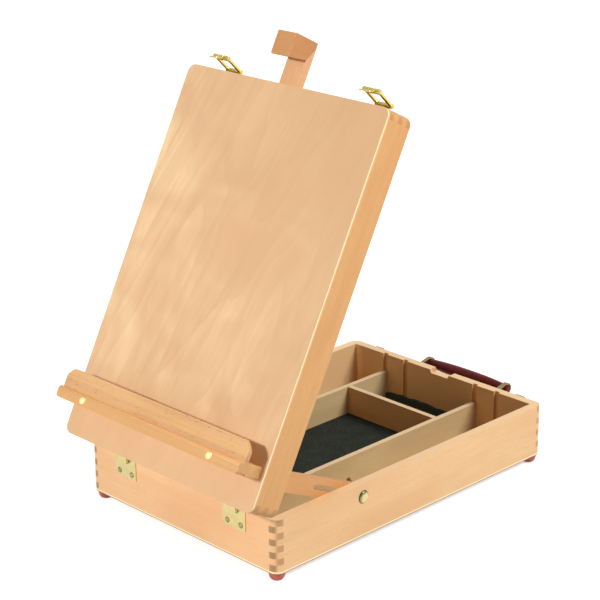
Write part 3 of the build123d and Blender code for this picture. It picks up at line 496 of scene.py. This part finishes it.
def brass(name, tone, rough=0.22, painted_darkening=None):
    """Lacquered brass plate with faint rolling marks and finger wear.

    When the last argument is given, it holds a spot, axes and two distances: the brass is painted dark
    between the two distances from the spot, measured along those axes that are 1. This is painted shadow
    under the hinge knuckles and a painted dark reflection round the bolt heads.
    """
    finish, tree, shader = material(name)
    place = add(tree, "ShaderNodeTexCoord", {}).outputs["Object"]
    smear = noise(tree, place, scale=90, detail=3)
    colour = tinted(tree, tone, toned(tone, 0.86, 0.86, 0.86), smear, 0.35, 0.70)
    if painted_darkening:
        # Painted darkening: shadow at the hinge knuckles, dark reflection on the bolt heads.
        spot, axes, unshaded_reach, dark = painted_darkening
        shift = [-part * keep for part, keep in zip(spot, axes)]
        moved = add(tree, "ShaderNodeMapping", {"Vector": place, "Location": shift, "Scale": axes})
        away = add(tree, "ShaderNodeVectorMath", {0: moved.outputs[0]}, operation="LENGTH")
        colour = tinted(tree, colour, toned(tone, 0.16, 0.16, 0.16), away.outputs["Value"], unshaded_reach, dark)
    shine = spread(tree, smear, 0.3, 0.7, rough - 0.05, rough + 0.08)
    wire(tree, shader, {"Base Color": colour, "Roughness": shine, "Metallic": 1.0})
    wire(tree, shader, {"Normal": raised(tree, smear, 0.00003)})
    return finish


def taper(shape, foot, top, low, high, sides):
    """A round block with the radius foot at the height low and the radius top at the height high."""
    bmesh.ops.create_cone(
        shape, cap_ends=True, segments=sides, radius1=foot, radius2=top, depth=high - low,
        matrix=Matrix.Translation((0, 0, (low + high) / 2)),
    )


def cross_screw(shape, place, head, shank, length):
    """A screw with an oval head and a cross recess. A dark disc round the head and the recess take the
    second finish, painted shade with some grime.
    """
    sink, rim_top, crown_top, recess_depth = 0.0003, 0.00012, 0.0007, 0.0006
    level = crown_top - 1e-6
    arm, half = head * 0.56, head * 0.20
    one = bmesh.new()
    # The disc under the head's edge takes the second finish: painted shadow for the countersink's gap.
    taper(one, head, head * 0.98, -sink, rim_top, sides=24)
    rim_faces = set(one.faces)
    for face in rim_faces:
        face.material_index = 1
    taper(one, head * 0.84, head * 0.70, 0, crown_top, sides=24)
    crown = [face for face in one.faces if face not in rim_faces and face.calc_center_median().z > level]
    bmesh.ops.bevel(
        one, geom=crown[0].edges[:], offset=head * 0.10, segments=2, profile=0.5, affect="EDGES", material=-1
    )
    for across in (Vector((1, 0, 0)), Vector((0, 1, 0))):
        for offset in (-arm, -half, half, arm):
            flats = [face for face in one.faces if min(vert.co.z for vert in face.verts) > level]
            cut = dict.fromkeys(part for face in flats for part in (face, *face.edges, *face.verts))
            bmesh.ops.bisect_plane(one, geom=list(cut), plane_co=across * offset, plane_no=across)
    recess = []
    for face in one.faces:
        middle = face.calc_center_median()
        near, far = sorted((abs(middle.x), abs(middle.y)))
        if min(vert.co.z for vert in face.verts) > level and near < half and far < arm:
            recess.append(face)
    sunk = bmesh.ops.extrude_face_region(one, geom=recess)
    lowered = [part for part in sunk["geom"] if isinstance(part, bmesh.types.BMVert)]
    bmesh.ops.translate(one, vec=(0, 0, -recess_depth), verts=lowered)
    # The recess takes the second finish: painted shade with some grime.
    for vert in lowered:
        for face in vert.link_faces:
            face.material_index = 1
    taper(one, shank * 0.4, shank, -length - sink / 2, -sink / 2, sides=12)
    bmesh.ops.transform(one, matrix=place, verts=one.verts[:])
    screw = bpy.data.meshes.new("screw")
    one.to_mesh(screw)
    one.free()
    shape.from_mesh(screw)
    bpy.data.meshes.remove(screw)


def driven(tilt, x, y, z, stop):
    """Where a screw is driven in, its head tilted outward about X and its cross stopped at an angle."""
    turn = Matrix.Rotation(radians(tilt), 4, "X") @ Matrix.Rotation(radians(stop), 4, "Z")
    return Matrix.Translation((x, y, z)) @ turn


def ease(width, *names):
    """Rounds the sharp edges of plain pieces a little, as tumbling or sanding does."""
    for name in names:
        weld = nodes[name].modifiers.new("merged", "WELD")
        weld.merge_threshold = 0.000002
        flat = nodes[name].modifiers.new("flats", "DECIMATE")
        flat.decimate_type = "DISSOLVE"
        flat.angle_limit = radians(0.5)
        edge = nodes[name].modifiers.new("eased edges", "BEVEL")
        edge.width = width
        edge.segments = 2
        edge.limit_method = "ANGLE"
        edge.angle_limit = radians(40)


# Places on the lid are given as they are with the lid shut, and opened swings them about the pins.
lid_angle = radians(62)
pin = centre("hinge_pins")
opened = Matrix.Translation(pin) @ Matrix.Rotation(lid_angle, 4, "X") @ Matrix.Translation(-pin)
hinge_x, hinge_screw_step = centre("hinge_leaf_base_right").x, 0.0095
leaf_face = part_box("hinge_screws_base")[0].y
lower_row = centre("hinge_screws_base").z
upper_row = 2 * pin.z - lower_row
hinge_screw = {"head": 0.003, "shank": 0.0014, "length": 0.008}
# The base leaves are painted dark in a thin band just proud of the plate: painted shadow under each
# knuckle's tongue.
knuckle_painted_shadow = ((0, -0.2017, 0), (0, 1, 0), 0.0006, 0.0003)

gold = brass("bright brass", srgb(222, 206, 146))
pressed_brass = brass("pressed brass", srgb(214, 200, 142), rough=0.3, painted_darkening=knuckle_painted_shadow)
dress(pressed_brass, "hinge_leaf_base_left", "hinge_leaf_base_right")
dress(gold, "hinge_leaf_lid_left", "hinge_leaf_lid_right", "hinge_pins")
ease(0.00025, "hinge_leaf_base_left", "hinge_leaf_base_right", "hinge_leaf_lid_left", "hinge_leaf_lid_right")

# The screws' second finish is grime and painted shade, for their recesses and the dark gap round their
# heads.
grime_and_shade, grime_and_shade_tree, grime_and_shade_shader = material("grime and painted shade")
grime_and_shade_place = add(grime_and_shade_tree, "ShaderNodeTexCoord", {}).outputs["Object"]
speck = noise(grime_and_shade_tree, grime_and_shade_place, scale=900, detail=2)
black_brown, umber = srgb(30, 24, 12), srgb(58, 46, 24)
grime_and_shade_colour = blend(grime_and_shade_tree, speck, black_brown, umber)
wire(grime_and_shade_tree, grime_and_shade_shader, {"Base Color": grime_and_shade_colour, "Metallic": 0.6, "Roughness": 0.55})
screw_finish = [brass("screw brass", srgb(168, 152, 98), rough=0.3), grime_and_shade]

# No two of the crosses stop at the same angle.
lower_screws = bmesh.new()
upper_screws = bmesh.new()
for hand in (-1, 1):
    for side in (-1, 1):
        x = hand * hinge_x + side * hinge_screw_step
        stop = 17 + 19 * side + 12.3 * hand
        cross_screw(lower_screws, driven(90, x, leaf_face, lower_row, stop), **hinge_screw)
        cross_screw(upper_screws, opened @ driven(90, x, leaf_face, upper_row, -stop), **hinge_screw)
fitted("hinge_screws_lower", lower_screws, screw_finish, "hinge_screws_base", "base")
fitted("hinge_screws_upper", upper_screws, screw_finish, "hinge_screws_lid", "lid")


# Lid
# The lid is a shallow box like the base, of warmer beech, with a 3 mm plywood panel glued on top. Its
# walls are finger-jointed, and the panel's cream edge shows all round.

leaned = (-lid_angle, 0, 0)
lid_pale, lid_deep = srgb(217, 164, 99), srgb(199, 138, 76)
veneer_pale, veneer_deep = srgb(237, 201, 154), srgb(207, 162, 116)
honey, top_ply = srgb(228, 178, 118), srgb(240, 200, 150)
lid_plies = [(0.0, honey), (0.46, honey), (0.56, cream), (0.90, cream), (1.0, top_ply)]

# The panel's two faces lie this far from the origin, measured square to the leaning lid.
panel_low, panel_high = 0.24247, 0.24547
# The panel is painted darker toward +x and toward its top, as painted shade.
panel_shade = (3.0, 2.2)

cross_lid_beech = beech("lid beech along x", lid_pale, lid_deep, "X", turn=leaned, end=0.8)
long_lid_beech = beech("lid beech along its length", lid_pale, lid_deep, "Y", turn=leaned, end=0.8)
dress(cross_lid_beech, "lid_front_wall", "lid_back_wall")
dress(long_lid_beech, "lid_left_wall", "lid_right_wall")
veneer = plywood(
    "drawing panel", veneer_pale, veneer_deep, panel_low, panel_high, lid_plies,
    turn=leaned, shade=panel_shade,
)
dress(veneer, "lid_panel")


# Canvas ledge
# A beech shelf bar glued across the panel, with a stepped lip pinned along it by two domed brass pins. Its
# wood is streaked, and it is painted a little darker along its lower edge as shade.

def dome(radius, height, steps):
    """The profile of a domed head, from its crown to its rim."""
    angles = [pi / 2 * step / steps for step in range(steps + 1)]
    return [(radius * sin(angle), height * cos(angle)) for angle in angles]


ledge_pale, ledge_deep = srgb(216, 170, 120), srgb(198, 144, 90)
ledge_streak, ledge_painted_shade = srgb(230, 182, 116), srgb(212, 156, 92)
pin_x, pin_y, pin_seat = 0.0945, -0.1605, 0.1343
pin_head, pin_rise, pin_shank, pin_length = 0.004, 0.0022, 0.0015, 0.009

ledge_beech = beech("ledge beech", ledge_pale, ledge_deep, "X", turn=leaned, end=0.76, flecks=0.60)
ledge_tree = ledge_beech.node_tree
ledge_shader = ledge_tree.nodes["Principled BSDF"]
plain = ledge_shader.inputs["Base Color"].links[0].from_socket
ledge_place = add(ledge_tree, "ShaderNodeTexCoord", {}).outputs["Object"]
streaks = grained(ledge_tree, ledge_place, "X", leaned, across=150, along=3.5, detail=3, rough=0.55)
streaked = tinted(ledge_tree, plain, ledge_streak, streaks, 0.40, 0.62, most=0.55)
ledge_laid = add(ledge_tree, "ShaderNodeMapping", {"Vector": ledge_place, "Rotation": leaned}).outputs[0]
up_lid = measured(ledge_tree, ledge_laid)["Y"]
# The lower edge is painted darker: painted shade along the lip's lower edge.
painted_lower_shade = tinted(ledge_tree, streaked, ledge_painted_shade, up_lid, 0.0150, 0.0118, most=0.60)
wire(ledge_tree, ledge_shader, {"Base Color": painted_lower_shade})
dress(ledge_beech, "ledge_shelf", "ledge_lip")
ease(0.0005, "ledge_shelf", "ledge_lip")

lip_pins = bmesh.new()
for x in (-pin_x, pin_x):
    place = opened @ Matrix.Translation((x, pin_y, pin_seat))
    shank = [(pin_shank, 0), (pin_shank, -pin_length), (0, -pin_length)]
    turned(lip_pins, dome(pin_head, pin_rise, steps=8) + shank, place, steps=32)
rounded(lip_pins)
pin_brass = brass("domed brass", srgb(234, 216, 150), rough=0.48)
fitted("ledge_pins_domed", lip_pins, [pin_brass], "ledge_pins", "lid")


# Mast
# A flat beech bar that slides behind the panel, with a hook block scarfed to its top. Two strips
# and a brass bridge with a fluted thumb screw guide it inside the lid.

mast_pale, mast_deep = srgb(222, 174, 126), srgb(204, 148, 98)
hook_pale, hook_deep = srgb(200, 144, 86), srgb(180, 122, 66)
bridge_x, bridge_y, bridge_face = 0.0174, 0.112, 0.0882
small_screw = {"head": 0.0022, "shank": 0.001, "length": 0.006}

dress(beech("mast beech", mast_pale, mast_deep, "Y", turn=leaned), "mast")
dress(beech("hook beech", hook_pale, hook_deep, "X", turn=leaned, end=0.95), "mast_hook")
dress(beech("rail beech", ledge_pale, ledge_deep, "Y", turn=leaned), "mast_rail_left", "mast_rail_right")
dress(gold, "mast_bridge", "mast_lock")
ease(0.0004, "mast_hook")

bridge_screws = bmesh.new()
for side in (-1, 1):
    place = opened @ driven(180, side * bridge_x, bridge_y, bridge_face, 15.66 * side)
    cross_screw(bridge_screws, place, **small_screw)
fitted("bridge_screws_crossed", bridge_screws, screw_finish, "mast_bridge_screws", "lid")


# Latches
# Pressed brass frames with finger levers, hinged on plates that are screwed to the lid. They hook
# under catches that are screwed to the back wall.

latch_x, plate_screw_step = centre("catch_right").x, 0.0095
plate_face, plate_row = 0.201, 0.0793
catch_face, catch_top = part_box("catch_screws")[1].y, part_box("catch_right")[1].z

# Brass darkened as a painted reflection of dark surroundings: dimmer on the latches and stay fittings,
# darker on the catches and the handle's fittings.
brass_painted_dim_reflection = brass("brass with painted dim reflection", srgb(204, 184, 104), rough=0.15)
brass_painted_dark_reflection = brass("brass with painted dark reflection", srgb(142, 130, 92), rough=0.2)
dress(brass_painted_dim_reflection, "latch_plate_left", "latch_plate_right", "latch_pins")
dress(brass_painted_dim_reflection, "latch_frame_left", "latch_frame_right", "latch_lever_left", "latch_lever_right")
dress(brass_painted_dim_reflection, "latch_lever_pin_left", "latch_lever_pin_right")
dress(brass_painted_dark_reflection, "catch_left", "catch_right")
ease(0.00035, "latch_frame_left", "latch_frame_right", "latch_lever_left", "latch_lever_right")
ease(0.00025, "latch_plate_left", "latch_plate_right", "catch_left", "catch_right")

plate_screws = bmesh.new()
catch_screws = bmesh.new()
for x in (-latch_x, latch_x):
    for side in (-1, 1):
        place = opened @ driven(-90, x + side * plate_screw_step, plate_face, plate_row, 35 + 28.5 * side)
        cross_screw(plate_screws, place, **small_screw)
    for drop, stop in ((0.0065, 13), (0.019, 38)):
        cross_screw(catch_screws, driven(-90, x, catch_face, catch_top - drop, stop), **small_screw)
fitted("latch_screws_crossed", plate_screws, screw_finish, "latch_screws", "lid")
fitted("catch_screws_crossed", catch_screws, screw_finish, "catch_screws", "base")


# Stays
# Slotted beech straps between the lid and two domed brass bolts through the side walls. Brass wing
# nuts over washers clamp them at the chosen lean.

stay_turn = (radians(25), 0, 0)
stay_pale, stay_deep = srgb(216, 160, 98), srgb(196, 132, 72)
bolt_line = centre("stay_bolts")
wall_face, cut_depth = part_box("base_right_wall")[1].x, 0.0001
bolt_head, bolt_rise = 0.0069, 0.0027
# The bolt heads are painted darker toward their edges round a bright middle: a painted dark reflection of
# the surroundings.
bolt_painted_reflection = ((0, -0.0791, 0.0514), (0, 1, 1), 0.0042, 0.0075)

stay_beech = beech("stay beech", stay_pale, stay_deep, "Y", turn=stay_turn)
dress(stay_beech, "stay_arm_left", "stay_arm_right")
dress(brass_painted_dim_reflection, "stay_washer_left", "stay_washer_right", "wing_nut_left", "wing_nut_right")
dress(brass_painted_dim_reflection, "stay_pivot_screws", "stay_pivot_washers")
ease(0.0003, "wing_nut_left", "wing_nut_right")

# The bolts keep their shanks and get rounder heads.
bolts = bmesh.new()
bolts.from_mesh(nodes["stay_bolts"].data)
bmesh.ops.remove_doubles(bolts, verts=bolts.verts[:], dist=2e-6)
for side in (-1, 1):
    every = bolts.verts[:] + bolts.edges[:] + bolts.faces[:]
    plane = {"plane_co": (side * (wall_face - cut_depth), 0, 0), "plane_no": (side, 0, 0)}
    bmesh.ops.bisect_plane(bolts, geom=every, clear_outer=True, **plane)
    place = Matrix.Translation((side * wall_face, bolt_line.y, bolt_line.z))
    place = place @ Matrix.Rotation(side * pi / 2, 4, "Y")
    turned(bolts, [*dome(bolt_head, bolt_rise, steps=10), (0, 0)], place, steps=40)
rounded(bolts)
bolt_brass = brass("bolt brass", srgb(204, 188, 134), rough=0.2, painted_darkening=bolt_painted_reflection)
fitted("stay_bolts_domed", bolts, [bolt_brass], "stay_bolts", "base")


# Handle
# A turned wooden grip stained deep maroon, held by two bent brass straps. They swing on pins in
# brackets that are screwed to the back wall.

grip_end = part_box("handle_grip")[1].x
grip_half = [
    (0.00695, 0), (0.0069, 0.012), (0.0067, 0.024), (0.0062, 0.036),
    (0.0054, 0.048), (0.0049, 0.0555), (0.0044, 0.0595), (0.0037, grip_end),
]
bracket_x, bracket_screw_step = 0.057, 0.007
bracket_face, bracket_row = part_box("handle_screws")[1].y, centre("handle_screws").z

along_x = Matrix.Translation(centre("handle_grip")) @ Matrix.Rotation(pi / 2, 4, "Y")
other_half = [(radius, -along) for radius, along in reversed(grip_half[1:])]
grip = bmesh.new()
turned(grip, [(0, -grip_end), *other_half, *grip_half, (0, grip_end)], along_x, steps=40)
rounded(grip)
maroon = stained("maroon grip", srgb(108, 26, 18), rough=0.3, gloss=0.15)
fitted("grip_turned", grip, [maroon], "handle_grip", "handle")
dress(brass_painted_dark_reflection, "handle_straps", "handle_brackets", "handle_pins")
ease(0.00025, "handle_straps", "handle_brackets")

handle_screws = bmesh.new()
for x in (-bracket_x, bracket_x):
    for side in (-1, 1):
        place = driven(-90, x + side * bracket_screw_step, bracket_face, bracket_row, 25 + 28 * side)
        cross_screw(handle_screws, place, **small_screw)
fitted("handle_screws_crossed", handle_screws, screw_finish, "handle_screws", "base")
